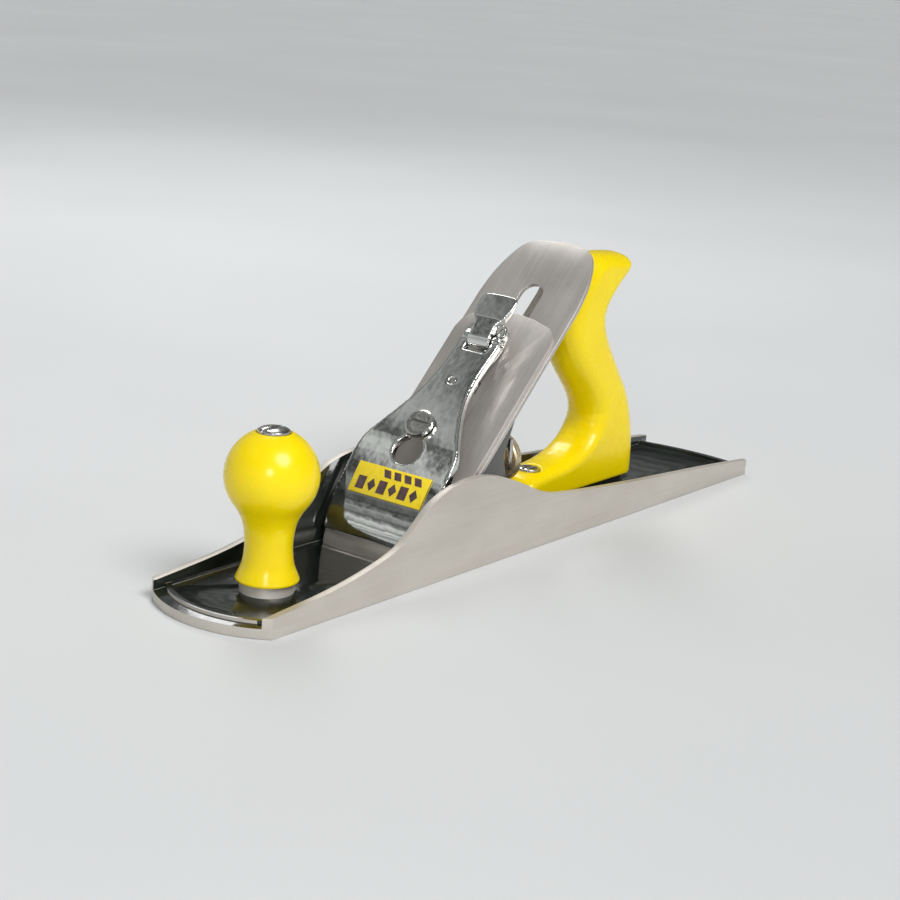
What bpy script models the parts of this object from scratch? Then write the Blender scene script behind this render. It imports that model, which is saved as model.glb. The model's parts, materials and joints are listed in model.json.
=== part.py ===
"""Metal bench plane, jack size: iron body, sliding frog, blade assembly, lever cap, knob and tote.

The sole lies on Z = 0, +X points to the toe and +Y to the user's left. The origin is the middle of the sole.
The blade assembly is described on the bed slope: t runs up the slope from the mouth, n stands off the slope.
"""

from math import asin, cos, degrees, hypot, radians, sin

import bmesh
import bpy
from mathutils import Matrix, Vector, geometry

MM = 0.001
GAP = 0.3 * MM          # between pieces that touch

# Body casting
LENGTH = 355 * MM
WIDTH = 61 * MM
TOE_CORNER_X = 166.4 * MM
HEEL_CORNER_X = -173.6 * MM
SOLE_THICKNESS = 3.8 * MM
CHEEK_THICKNESS = 3.0 * MM
CHEEK_TOP = ((-173.6, 7.1), (-129, 10.9), (-75, 14.8), (-20, 19.8), (0, 23.6), (19, 31.4), (35, 36.9),
             (50, 38.8), (66, 37.0), (78, 32.3), (88, 24.5), (97, 18.8), (112, 14.5), (135, 10.6),
             (166.4, 7.8))
SEAT_X = (20 * MM, 62 * MM)
SEAT_HALF_WIDTH = 20.5 * MM
SEAT_TOP = 12 * MM
MOUTH_FRONT = 80.8 * MM
MOUTH_HALF_WIDTH = 26.7 * MM

# Bed slope
MOUTH_X = 75.3 * MM
BED_ANGLE = radians(45)

# Blade assembly, in slope coordinates
IRON_WIDTH = 51 * MM
IRON_THICKNESS = 2.0 * MM
IRON_TOP = 169 * MM
IRON_EDGE = -1.5 * MM
IRON_GRIND = 4.3 * MM
SLOT_HALF_WIDTH = 5.5 * MM
BREAKER_LOW = IRON_THICKNESS + GAP
BREAKER_THICKNESS = 1.9 * MM
BREAKER_TOP = 127.5 * MM
CAP_SCREW_T = 57 * MM         # lever cap screw
IRON_SCREW_T = 75 * MM        # screw that holds the chip breaker to the iron
FINGER_T = 88 * MM            # yoke finger
ROLLER_T = 97 * MM
LATERAL_T = 108 * MM          # pivot of the lateral lever
LATERAL_N = -3.2 * MM         # back of the lateral lever where it lies in the frog
CAM_T = 106 * MM              # pin of the cam lever
CAM_N = 12.9 * MM
SPRING_RIVET_T = 82 * MM
CAP_TRAVEL = 11.5 * MM        # from the narrow to the wide end of the keyhole

# Frog
FROG_HALF_WIDTH = 19 * MM
FROG_INNER = 14 * MM
FROG_FACE = -GAP
FROG_BACK = -6.8 * MM
FROG_TOP = 113 * MM
FROG_BASE = SEAT_TOP + GAP
FROG_SCREW = (46 * MM, 8.5 * MM)
FROG_FLOOR = FROG_BASE + 4.2 * MM     # top of the foot inside the hollow
FROG_WALL = (12 * MM, 17 * MM)        # cross wall

# Depth adjuster
STUD_Z = 31 * MM
STUD_RADIUS = 3.2 * MM
YOKE_N = -11 * MM             # yoke pivot, below the slope at FINGER_T
GROOVE_X = (-5.8 * MM, -0.2 * MM)
FROG_ADJUST_Z = 8.6 * MM
PLATE_SCREW_Z = 22 * MM

# Handles
KNOB_X = 136.5 * MM
KNOB_BASE = 8.3 * MM
KNOB_FOOT = 12.2 * MM
BALL_Z = 48.9 * MM
BALL_RADIUS = 18.0 * MM
BOLT_RADIUS = 2.7 * MM
TOTE_BASE = 9.8 * MM
TOTE_HALF_WIDTH = 10.8 * MM
TOTE_ROUNDING = 10 * MM
TOTE_ROUNDED_SHARE = 0.36     # most of the room across the grip that the rounding may take
TOTE_STEPS = 5
TOTE_SPREAD = 3               # points over which the rounding is evened out
TOTE_BOLT_FOOT = (-86.5 * MM, TOTE_BASE)
TOTE_BOLT_HEAD = (-57 * MM, 107 * MM)
TOE_SCREW_X = -31 * MM

UPRIGHT = Matrix.Identity(4)
SIDEWAYS = Matrix.Rotation(radians(90), 4, "X")
UP_SLOPE = Vector((-cos(BED_ANGLE), 0, sin(BED_ANGLE)))
OFF_SLOPE = Vector((sin(BED_ANGLE), 0, cos(BED_ANGLE)))
ACROSS = Vector((0, 1, 0))


def axes_matrix(x_axis, y_axis, z_axis, origin):
    """Matrix whose columns are three axes and an origin."""
    matrix = Matrix((x_axis, y_axis, z_axis)).transposed().to_4x4()
    matrix.translation = origin
    return matrix


BED_ORIGIN = Vector((MOUTH_X, 0, 0))
BED = axes_matrix(UP_SLOPE, -ACROSS, OFF_SLOPE, BED_ORIGIN)          # plan of the slope
BED_SIDE = axes_matrix(UP_SLOPE, OFF_SLOPE, ACROSS, BED_ORIGIN)      # side view of the slope


def on_slope(t, y, n):
    return BED_ORIGIN + UP_SLOPE * t + ACROSS * y + OFF_SLOPE * n


def in_mm(points):
    return [(x * MM, y * MM) for x, y in points]


def new_collection(name):
    collection = bpy.data.collections.new(name)
    bpy.context.scene.collection.children.link(collection)
    return collection


def move_to(piece, collection):
    for owner in list(piece.users_collection):
        owner.objects.unlink(piece)
    collection.objects.link(piece)


def as_cutter(piece):
    """Keep a helper solid out of the finished part."""
    move_to(piece, CUTTERS)
    piece.hide_render = True
    piece.display_type = "WIRE"
    return piece


# Outlines

def arc(centre_x, centre_y, radius, start, end, steps):
    """Points on an arc; the angles are in degrees."""
    turn = [radians(start + (end - start) * i / steps) for i in range(steps + 1)]
    return [(centre_x + radius * cos(a), centre_y + radius * sin(a)) for a in turn]


def through(points, steps):
    """An open Catmull-Rom curve through the points."""
    padded = [points[0]] + list(points) + [points[-1]]
    curve = []
    for a, b, c, d in zip(padded, padded[1:], padded[2:], padded[3:]):
        for i in range(steps):
            u = i / steps
            curve.append(tuple(
                0.5 * (2 * b[k] + (c[k] - a[k]) * u + (2 * a[k] - 5 * b[k] + 4 * c[k] - d[k]) * u * u
                       + (3 * b[k] - a[k] - 3 * c[k] + d[k]) * u ** 3) for k in range(2)))
    return curve + [tuple(points[-1])]


def slot_outline(low, high, half_width, steps=8):
    """A slot with round ends whose end centres are at low and high on the first axis."""
    return (arc(high, 0, half_width, -90, 90, steps) + arc(low, 0, half_width, 90, 270, steps))


def mirrored(side):
    """A closed outline from its half at positive second coordinate."""
    return side + [(x, -y) for x, y in reversed(side)]


# Solids

def finish(name, mesh, frame=UPRIGHT):
    mesh.transform(frame)
    piece = bpy.data.objects.new(name, mesh)
    PARTS.objects.link(piece)
    return piece


def prism(name, outlines, low, high, frame=UPRIGHT):
    """Flat outlines, extruded between two heights of a frame's third axis."""
    curve = bpy.data.curves.new(name, "CURVE")
    curve.dimensions = "2D"
    curve.fill_mode = "BOTH"
    curve.extrude = (high - low) / 2
    for outline in outlines:
        spline = curve.splines.new("POLY")
        spline.points.add(len(outline) - 1)
        for point, (x, y) in zip(spline.points, outline):
            point.co = (x, y, 0, 1)
        spline.use_cyclic_u = True
    holder = bpy.data.objects.new(name, curve)
    PARTS.objects.link(holder)
    depsgraph = bpy.context.evaluated_depsgraph_get()
    mesh = bpy.data.meshes.new_from_object(holder.evaluated_get(depsgraph))
    bpy.data.objects.remove(holder)
    bpy.data.curves.remove(curve)
    shape = bmesh.new()
    shape.from_mesh(mesh)
    bmesh.ops.remove_doubles(shape, verts=shape.verts, dist=1e-6)
    bmesh.ops.translate(shape, verts=shape.verts, vec=(0, 0, (low + high) / 2))
    bmesh.ops.recalc_face_normals(shape, faces=shape.faces)
    shape.to_mesh(mesh)
    shape.free()
    mesh.name = name
    return finish(name, mesh, frame)


def block(name, low, high, frame=UPRIGHT):
    """A box between two corners of a frame."""
    bpy.ops.mesh.primitive_cube_add(size=1)
    piece = bpy.context.object
    piece.name = name
    piece.data.name = name
    size = [b - a for a, b in zip(low, high)]
    middle = [(a + b) / 2 for a, b in zip(low, high)]
    piece.data.transform(frame @ Matrix.Translation(middle) @ Matrix.Diagonal((*size, 1)))
    move_to(piece, PARTS)
    return piece


def rod(name, radius, start, end, sides=24):
    """A cylinder between two points."""
    start, end = Vector(start), Vector(end)
    bpy.ops.mesh.primitive_cylinder_add(vertices=sides, radius=radius, depth=(end - start).length)
    piece = bpy.context.object
    piece.name = name
    piece.data.name = name
    turn = (end - start).to_track_quat("Z", "Y").to_matrix().to_4x4()
    piece.data.transform(Matrix.Translation((start + end) / 2) @ turn)
    move_to(piece, PARTS)
    return piece


def turned(name, profile, foot, axis, sides=24):
    """A profile of (radius, height), top to bottom down the outside, turned about an axis through foot."""
    shape = bmesh.new()
    corners = [shape.verts.new((radius, 0, height)) for radius, height in profile]
    for a, b in zip(corners, corners[1:]):
        shape.edges.new((a, b))
    if profile[0][0] > 0:
        shape.edges.new((corners[-1], corners[0]))
    mesh = bpy.data.meshes.new(name)
    shape.to_mesh(mesh)
    shape.free()
    piece = finish(name, mesh)
    screw = piece.modifiers.new("Turn", "SCREW")
    screw.axis = "Z"
    screw.steps = sides
    screw.render_steps = sides
    screw.use_merge_vertices = True
    screw.merge_threshold = 0.0001 * 0.5
    piece.rotation_euler = Vector(axis).to_track_quat("Z", "Y").to_euler()
    piece.location = foot
    smooth(piece)
    return piece


def combine(piece, tool, operation):
    modifier = piece.modifiers.new(tool.name, "BOOLEAN")
    modifier.operation = operation
    modifier.object = as_cutter(tool)
    modifier.solver = "EXACT"


def cut(piece, *tools):
    for tool in tools:
        combine(piece, tool, "DIFFERENCE")


def join(piece, *tools):
    for tool in tools:
        combine(piece, tool, "UNION")


def bevel(piece, width, segments=2, angle=40):
    modifier = piece.modifiers.new("Edges", "BEVEL")
    modifier.width = width
    modifier.segments = segments
    modifier.limit_method = "ANGLE"
    modifier.angle_limit = radians(angle)


def smooth(piece, angle=35):
    piece.data.shade_smooth()
    piece.data.set_sharp_from_angle(angle=radians(angle))


def pivot_at(piece, point):
    """Move a piece's origin to a point without moving the piece."""
    point = Vector(point)
    offset = piece.matrix_basis.inverted() @ point
    piece.data.transform(Matrix.Translation(-offset))
    piece.location = piece.location + (point - piece.location)
    return piece


def joint_empty(name, point):
    empty = bpy.data.objects.new(name, None)
    empty.location = point
    empty.empty_display_size = 10 * MM
    GUIDES.objects.link(empty)
    return empty


def hang(empty, *pieces):
    """Parent pieces to a joint's empty and leave them where they are."""
    for piece in pieces:
        piece.parent = empty
        piece.location = Vector(piece.location) - empty.location


def material(name, colour, roughness, metallic):
    made = bpy.data.materials.new(name)
    made.use_nodes = True
    shader = made.node_tree.nodes["Principled BSDF"]
    shader.inputs["Base Color"].default_value = (*colour, 1)
    shader.inputs["Roughness"].default_value = roughness
    shader.inputs["Metallic"].default_value = metallic
    return made


def paint(piece, name, colour, roughness, metallic):
    piece.data.materials.clear()
    piece.data.materials.append(material(name, colour, roughness, metallic))


def steel(piece):
    paint(piece, piece.name + "_steel", (0.55, 0.53, 0.5), 0.35, 1)


def brass(piece):
    paint(piece, piece.name + "_brass", (0.85, 0.62, 0.35), 0.3, 1)


def chrome(piece):
    paint(piece, piece.name + "_chrome", (0.75, 0.75, 0.76), 0.12, 1)


def plastic(piece):
    paint(piece, piece.name + "_plastic", (0.95, 0.68, 0.0), 0.25, 0)


def japanning(piece):
    paint(piece, piece.name + "_japanning", (0.012, 0.014, 0.013), 0.2, 0)


# Body

def end_arc(corner_x, tip_x, steps):
    """The bowed end of the sole: its centre, its radius and the points along it."""
    bulge = abs(tip_x - corner_x)
    radius = ((WIDTH / 2) ** 2 + bulge ** 2) / (2 * bulge)
    half_angle = degrees(asin(WIDTH / 2 / radius))
    centre = tip_x - radius if tip_x > 0 else tip_x + radius
    middle = 0 if tip_x > 0 else 180
    return centre, radius, arc(centre, 0, radius, middle - half_angle, middle + half_angle, steps)


def bead(name, centre, outer, tip_angle, width):
    """A low raised rib inside a bowed end."""
    half_angle = degrees(asin((WIDTH / 2 - CHEEK_THICKNESS / 2) / outer))
    outside = arc(centre, 0, outer, tip_angle - half_angle, tip_angle + half_angle, 16)
    inside = arc(centre, 0, outer - width, tip_angle + half_angle, tip_angle - half_angle, 16)
    return prism(name, [outside + inside], SOLE_THICKNESS - MM, SOLE_THICKNESS + 1.3 * MM)


def plane_body():
    """Side profile extruded to the full width, trimmed to the bowed ends, with the tray cut out."""
    top = through(in_mm(CHEEK_TOP), 4)
    reach = LENGTH / 2 + MM
    ends = [(reach, top[-1][1]), (reach, 0), (-reach, 0), (-reach, top[0][1])]
    body = prism("plane_body", [top + ends], -WIDTH / 2, WIDTH / 2, SIDEWAYS)
    toe_centre, toe_radius, toe = end_arc(TOE_CORNER_X, LENGTH / 2, 18)
    heel_centre, heel_radius, heel = end_arc(HEEL_CORNER_X, -LENGTH / 2, 12)
    combine(body, prism("plan_cutter", [toe + heel], -10 * MM, 60 * MM), "INTERSECT")
    inner = WIDTH / 2 - CHEEK_THICKNESS
    cut(body, block("tray_cutter", (-LENGTH, -inner, SOLE_THICKNESS), (LENGTH, inner, 80 * MM)))

    rooted = SOLE_THICKNESS - MM
    seat = block("seat", (SEAT_X[0], -SEAT_HALF_WIDTH, rooted), (SEAT_X[1], SEAT_HALF_WIDTH, SEAT_TOP))
    boss = rod("knob_boss", 10.5 * MM, (KNOB_X, 0, rooted), (KNOB_X, 0, KNOB_BASE - GAP), 32)
    pad = prism("tote_pad", [slot_outline(-92 * MM, -27 * MM, 9.3 * MM)], rooted, TOTE_BASE - GAP)
    toe_bead = bead("toe_bead", toe_centre, toe_radius - 5 * MM, 0, 2.4 * MM)
    heel_bead = bead("heel_bead", heel_centre, heel_radius - 5 * MM, 180, 2.4 * MM)
    join(body, seat, boss, pad, toe_bead, heel_bead)

    back_line = MOUTH_X - 2.55 * MM
    mouth = [(back_line + MM, -MM), (MOUTH_FRONT, -MM), (MOUTH_FRONT, 6 * MM), (back_line - 6 * MM, 6 * MM)]
    cut(body, prism("mouth_cutter", [mouth], -MOUTH_HALF_WIDTH, MOUTH_HALF_WIDTH, SIDEWAYS))
    for side in (-1, 1):
        x, y = FROG_SCREW[0], side * FROG_SCREW[1]
        cut(body, rod(f"frog_screw_hole_{side}", 2.9 * MM, (x, y, 4.6 * MM), (x, y, 20 * MM), 16))
    adjust_axis = (10 * MM, 0, FROG_ADJUST_Z), (38.5 * MM, 0, FROG_ADJUST_Z)
    cut(body, rod("frog_adjust_hole", 2.8 * MM, *adjust_axis, 16))
    cut(body, rod("knob_bolt_hole", BOLT_RADIUS + GAP, (KNOB_X, 0, 2 * MM), (KNOB_X, 0, 20 * MM), 16))
    cut(body, rod("toe_screw_hole", 2.4 * MM, (TOE_SCREW_X, 0, 2 * MM), (TOE_SCREW_X, 0, 14 * MM), 16))
    cut(body, tote_line("tote_bolt_hole", BOLT_RADIUS + GAP, -3.2 * MM, 20 * MM))
    japanning(body)
    return body


# Frog

def frog_side():
    """Side view of the frog: sloping face, back of the webs and two-level foot."""
    face_line = MOUTH_X + FROG_FACE * 2 ** 0.5
    foot_x = SEAT_X[1] + 1.9 * MM
    foot_z = SOLE_THICKNESS + 2 * GAP
    top_front = on_slope(FROG_TOP, 0, FROG_FACE)
    top_back = on_slope(FROG_TOP, 0, FROG_BACK - 1.5 * MM)
    face = [(face_line - foot_z, foot_z), (top_front.x, top_front.z), (top_back.x, top_back.z)]
    web_back = in_mm([(9.4, 54), (12.8, 46), (15.8, 39.6), (12, 27)])
    return face + web_back + [(FROG_WALL[0], FROG_BASE), (foot_x, FROG_BASE), (foot_x, foot_z)]


def frog():
    """A wedge with a sloping face, hollow behind, with a cross wall that carries the depth stud."""
    piece = prism("frog", [frog_side()], -FROG_HALF_WIDTH, FROG_HALF_WIDTH, SIDEWAYS)
    back_line = MOUTH_X + FROG_BACK * 2 ** 0.5
    above = 95 * MM
    hollow = [(back_line - FROG_FLOOR, FROG_FLOOR), (back_line - above, above), (-60 * MM, above),
              (-60 * MM, FROG_FLOOR)]
    cut(piece, prism("frog_hollow", [hollow], -FROG_INNER, FROG_INNER, SIDEWAYS))
    wall_low = (FROG_WALL[0], -FROG_INNER - MM, FROG_BASE + MM)
    join(piece, block("frog_cross_wall", wall_low, (FROG_WALL[1], FROG_INNER + MM, 37.4 * MM)))
    bore_frog(piece)
    slot_frog_foot(piece)
    for side in (-1, 1):
        inner, outer = sorted((side * 10.3 * MM, side * 14.4 * MM))
        low = (FINGER_T - 4 * MM, inner, YOKE_N - 3.2 * MM)
        join(piece, block(f"yoke_lug_{side}", low, (FINGER_T + 4 * MM, outer, FROG_BACK + MM), BED))
    reach = 13.85 * MM
    pin_ends = on_slope(FINGER_T, -reach, YOKE_N), on_slope(FINGER_T, reach, YOKE_N)
    cut(piece, rod("yoke_pin_hole", 2.3 * MM, *pin_ends, 16))
    japanning(piece)
    return piece


def bore_frog(piece):
    """Holes and pockets through the frog's cross wall and sloping face."""
    cut(piece, rod("stud_hole", STUD_RADIUS + GAP, (5 * MM, 0, STUD_Z), (24 * MM, 0, STUD_Z), 20))
    cut(piece, rod("plate_screw_hole", 1.8 * MM, (5 * MM, 0, PLATE_SCREW_Z), (24 * MM, 0, PLATE_SCREW_Z), 12))
    front, deep = 5 * MM, -12 * MM
    screw_axis = on_slope(CAP_SCREW_T, 0, front), on_slope(CAP_SCREW_T, 0, deep)
    cut(piece, rod("cap_screw_hole", 3.3 * MM, *screw_axis, 20))
    cut(piece, prism("iron_screw_pocket", [slot_outline(75 * MM, 83.5 * MM, 10 * MM)], deep, front, BED))
    recess_low = (92 * MM, -12 * MM, LATERAL_N - 0.4 * MM)
    cut(piece, block("lateral_recess", recess_low, (120 * MM, 12 * MM, front), BED))
    pivot_axis = on_slope(LATERAL_T, 0, 0), on_slope(LATERAL_T, 0, deep)
    cut(piece, rod("lateral_pivot_hole", 2.2 * MM, *pivot_axis, 16))


def slot_frog_foot(piece):
    """Slots in the foot for the frog screws, open above to a screwdriver."""
    reach = slot_outline(-1.6 * MM, 1.6 * MM, 5.4 * MM)
    slot = slot_outline(-1.5 * MM, 1.5 * MM, 2.9 * MM)
    for side in (-1, 1):
        place = Matrix.Translation((FROG_SCREW[0], side * FROG_SCREW[1], 0))
        cut(piece, prism(f"screwdriver_hole_{side}", [reach], FROG_FLOOR - 0.1 * MM, 60 * MM, place))
        cut(piece, prism(f"frog_slot_{side}", [slot], 10 * MM, FROG_FLOOR + MM, place))


def slotted_screw(name, foot, axis, shank, shank_length, head, head_height, slot_width=1.2 * MM):
    """A screw with its shank end at foot and a round slotted head; shank and head are radii."""
    length = shank_length + head_height
    dome = head_height * 0.25
    profile = [(0, length), (head * 0.75, length - dome * 0.35), (head, length - dome), (head, shank_length),
               (shank, shank_length), (shank, 0), (0, 0)]
    screw = turned(name, profile, foot, axis, 20)
    turn = screw.rotation_euler.to_matrix().to_4x4()
    frame = Matrix.Translation(foot) @ turn
    slot = block(name + "_slot", (-head * 1.2, -slot_width / 2, length - head_height * 0.45),
                 (head * 1.2, slot_width / 2, length + MM), frame)
    cut(screw, slot)
    steel(screw)
    return screw


def frog_fasteners():
    for side, hand in ((1, "left"), (-1, "right")):
        x, y = FROG_SCREW[0], side * FROG_SCREW[1]
        washer_low = FROG_FLOOR + GAP
        washer_high = washer_low + 0.9 * MM
        ring = [(2.9 * MM, washer_high), (5 * MM, washer_high), (5 * MM, washer_low), (2.9 * MM, washer_low)]
        steel(turned(f"frog_washer_{hand}", ring, (x, y, 0), (0, 0, 1), 20))
        slotted_screw(f"frog_screw_{hand}", (x, y, 5 * MM), (0, 0, 1), 2.6 * MM, washer_high + GAP - 5 * MM,
                      4.9 * MM, 3 * MM)


def frog_adjusting_screw():
    """Horizontal screw behind the frog; its groove holds the frog's fork plate."""
    profile = in_mm([(0, 33), (2.5, 33), (2.5, 10), (1.9, 10), (1.9, 7.2), (4.0, 7.2), (4.0, 5.5), (4.4, 5.0),
                     (4.4, 0.5), (3.9, 0), (0, 0)])
    screw = turned("frog_adjusting_screw", profile, (3 * MM, 0, FROG_ADJUST_Z), (1, 0, 0), 24)
    cut(screw, block("adjusting_slot", (2 * MM, -0.7 * MM, 0), (4.6 * MM, 0.7 * MM, 20 * MM)))
    steel(screw)
    return screw


def frog_adjusting_plate():
    """Fork plate screwed to the back of the frog."""
    half = 6.5 * MM
    outline = [(-half, 5 * MM), (-2.2 * MM, 5 * MM), (-2.2 * MM, FROG_ADJUST_Z)]
    outline += arc(0, FROG_ADJUST_Z, 2.2 * MM, 180, 0, 8)[1:-1]
    outline += [(2.2 * MM, FROG_ADJUST_Z), (2.2 * MM, 5 * MM), (half, 5 * MM), (half, 20 * MM)]
    outline += arc(0, PLATE_SCREW_Z, 5.5 * MM, 0, 180, 8) + [(-half, 20 * MM)]
    hole = arc(0, PLATE_SCREW_Z, 1.8 * MM, 0, 337.5, 15)
    facing = axes_matrix(ACROSS, Vector((0, 0, 1)), Vector((1, 0, 0)), Vector((0, 0, 0)))
    front = FROG_WALL[0] - GAP * 1.5
    piece = prism("frog_adjusting_plate", [outline, hole], front - 1.05 * MM, front, facing)
    steel(piece)
    return piece


def frog_plate_screw():
    foot = (17.5 * MM, 0, PLATE_SCREW_Z)
    facing = (-1, 0, 0)
    return slotted_screw("frog_plate_screw", foot, facing, 1.5 * MM, 7.3 * MM, 3.0 * MM, 1.9 * MM, 0.8 * MM)


# Depth adjuster

def depth_stud():
    stud = rod("depth_stud", STUD_RADIUS, (-11.2 * MM, 0, STUD_Z), (20 * MM, 0, STUD_Z), 20)
    bevel(stud, 0.5 * MM, 1)
    smooth(stud)
    steel(stud)
    return stud


def depth_adjusting_nut():
    """Brass wheel with a knurled rim and the groove that the yoke rides in."""
    bore = STUD_RADIUS + GAP
    low, high = GROOVE_X
    rim = 10.8 * MM
    face = -9.8 * MM
    profile = [(bore, 1.8 * MM), (8.5 * MM, 1.8 * MM), (8.5 * MM, high), (6 * MM, high), (6 * MM, low),
               (rim - 0.8 * MM, low), (rim, low - 0.8 * MM), (rim, face + 0.8 * MM), (rim - 0.8 * MM, face),
               (7 * MM, face), (6.4 * MM, face + 1.2 * MM), (bore, face + 1.2 * MM)]
    nut = turned("depth_adjusting_nut", profile, (0, 0, STUD_Z), (1, 0, 0), 36)
    brass(nut)
    return nut


def depth_yoke():
    """Rocking lever: a fork below that rides in the nut's groove and a finger above that feeds the iron."""
    pivot = on_slope(FINGER_T, 0, YOKE_N)
    yoke = rod("depth_yoke", 3.7 * MM, pivot - ACROSS * 9.6 * MM, pivot + ACROSS * 9.6 * MM, 24)
    arm = in_mm([(-4.2, 39.5), (-1.6, 39.5), (8.2, 52), (2.8, 57)])
    finger_low = FINGER_T - 2.5 * MM
    finger_high = FINGER_T + 2.5 * MM
    join(yoke, prism("yoke_arm", [arm], -3 * MM, 3 * MM, SIDEWAYS))
    join(yoke, block("yoke_finger", (finger_low, -2.8 * MM, YOKE_N), (finger_high, 2.8 * MM, 3.9 * MM), BED))
    join(yoke, block("yoke_bar", (-4 * MM, -9.6 * MM, 37.7 * MM), (-2 * MM, 9.6 * MM, 41.5 * MM)))
    for side in (-1, 1):
        inner, outer = sorted((side * 6.6 * MM, side * 9.6 * MM))
        join(yoke, block(f"yoke_prong_{side}", (-4 * MM, inner, 28 * MM), (-2 * MM, outer, 38.5 * MM)))
    cut(yoke, rod("yoke_bore", 2.3 * MM, pivot - ACROSS * 12 * MM, pivot + ACROSS * 12 * MM, 16))
    steel(yoke)
    return pivot_at(yoke, pivot)


def yoke_pin():
    reach = 13.4 * MM
    pin = rod("yoke_pin", 2.0 * MM, on_slope(FINGER_T, -reach, YOKE_N), on_slope(FINGER_T, reach, YOKE_N), 16)
    smooth(pin)
    steel(pin)
    return pin


# Lateral adjuster

def lateral_lever():
    """Bent strip: it lies in the frog's recess, then stands off behind the iron and ends in a thumb tab."""
    foot = (ROLLER_T - 4.5 * MM, LATERAL_N)
    path = [foot] + in_mm([(118, -3.2), (126, -5.4), (134, -7.2), (146, -7.4), (158, -6), (171, -4.6)])
    thickness = 1.5 * MM
    upper = [(t, n + thickness) for t, n in reversed(path)]
    lever = prism("lateral_lever", [path + upper], -10 * MM, 10 * MM, BED_SIDE)
    half = in_mm([(92.5, 3), (97, 4.5), (104, 5), (108, 6.2), (114, 5.2), (130, 4), (158, 4), (163, 7),
                  (168, 7.5), (171, 5.5)])
    combine(lever, prism("lateral_outline", [mirrored(half)], -20 * MM, 20 * MM, BED), "INTERSECT")
    pivot = on_slope(LATERAL_T, 0, 0)
    cut(lever, rod("lateral_bore", 2.2 * MM, pivot, on_slope(LATERAL_T, 0, -9 * MM), 16))
    cut(lever, rod("roller_bore", 1.6 * MM, on_slope(ROLLER_T, 0, 0), on_slope(ROLLER_T, 0, -9 * MM), 12))
    steel(lever)
    return pivot_at(lever, pivot)


def lateral_pins():
    """Rivet that the lateral lever turns on, the roller at its lower end and the roller's rivet."""
    head = in_mm([(0, -0.5), (3.6, -0.6), (3.9, -1.4), (1.9, -1.4), (1.9, -6.6), (0, -6.6)])
    pivot = turned("lateral_pivot", head, on_slope(LATERAL_T, 0, 0), OFF_SLOPE, 20)
    steel(pivot)
    ring = in_mm([(1.6, 1.7), (3.5, 1.7), (3.8, 1.4), (3.8, -1.4), (1.6, -1.4)])
    roller = turned("lateral_roller", ring, on_slope(ROLLER_T, 0, 0), OFF_SLOPE, 24)
    steel(roller)
    pin = rod("roller_rivet", 1.3 * MM, on_slope(ROLLER_T, 0, -3.3 * MM), on_slope(ROLLER_T, 0, 1.8 * MM), 14)
    smooth(pin)
    steel(pin)
    return pivot, roller, pin


# Blade assembly

def plane_iron():
    """Cutter with a ground bevel, clipped round top corners and a long slot."""
    half_width = IRON_WIDTH / 2
    grind = [(IRON_EDGE, IRON_THICKNESS), (IRON_EDGE + IRON_GRIND, 0)]
    side = grind + [(IRON_TOP, 0), (IRON_TOP, IRON_THICKNESS)]
    iron = prism("plane_iron", [side], -half_width, half_width, BED_SIDE)
    shoulder = [(136, 25.5), (147, 24.4), (156, 21.9), (162.5, 19), (166.4, 15.5), (168.2, 9), (169, 0)]
    outline = mirrored([(-5 * MM, half_width)] + through(in_mm(shoulder), 3)[:-1])
    combine(iron, prism("iron_outline", [outline], -5 * MM, 5 * MM, BED), "INTERSECT")
    slot = slot_outline(45 * MM, 140 * MM, SLOT_HALF_WIDTH)
    cut(iron, prism("iron_slot", [slot], -5 * MM, 5 * MM, BED))
    hole_axis = on_slope(46 * MM, 0, -5 * MM), on_slope(46 * MM, 0, 5 * MM)
    cut(iron, rod("iron_round_hole", 8.3 * MM, *hole_axis, 24))
    steel(iron)
    return pivot_at(iron, on_slope(IRON_SCREW_T, 0, 0))


def chip_breaker():
    """Cap iron: flat plate whose lower end humps up and comes down on the iron just behind its edge."""
    low = BREAKER_LOW / MM
    thick = BREAKER_THICKNESS / MM
    under = through([(2.2, low), (4.5, 3.5), (8, 4.7), (12, 4.6), (17, 3.2), (23, low)], 3)
    over = through([(23, low + thick), (17, 5.1), (12, 6.4), (8, 6.5), (4.5, 5.0), (1.6, low + 0.35)], 3)
    top = BREAKER_TOP / MM
    side = in_mm(under + [(top, low), (top, low + thick)] + over)
    half_width = 25 * MM
    breaker = prism("chip_breaker", [side], -half_width, half_width, BED_SIDE)
    half = in_mm([(0, 25), (115, 25), (120, 23.6), (123.6, 20), (126.3, 10), (127.3, 3)])
    combine(breaker, prism("breaker_outline", [mirrored(half)], -5 * MM, 12 * MM, BED), "INTERSECT")
    keyhole = slot_outline(CAP_SCREW_T - 6 * MM, CAP_SCREW_T + 3 * MM, 4.2 * MM)
    cut(breaker, prism("breaker_keyhole", [keyhole], -5 * MM, 12 * MM, BED))
    above = 9 * MM
    screw_axis = on_slope(IRON_SCREW_T, 0, -2 * MM), on_slope(IRON_SCREW_T, 0, above)
    cut(breaker, rod("iron_screw_hole", 4.5 * MM, *screw_axis))
    finger_low = (FINGER_T - 3 * MM, -3.6 * MM, 0)
    cut(breaker, block("finger_hole", finger_low, (FINGER_T + 3 * MM, 3.6 * MM, above), BED))
    steel(breaker)
    return pivot_at(breaker, on_slope(IRON_SCREW_T, 0, 0))


def cap_iron_screw():
    """Large slotted screw; its head lies behind the iron and its shank ends in the chip breaker."""
    reach = BREAKER_LOW + BREAKER_THICKNESS - 0.2 * MM
    foot = on_slope(IRON_SCREW_T, 0, reach)
    shank, head, head_height, slot = 4.2 * MM, 7.6 * MM, 3.4 * MM, 1.6 * MM
    return slotted_screw("cap_iron_screw", foot, -OFF_SLOPE, shank, reach + GAP, head, head_height, slot)


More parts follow.
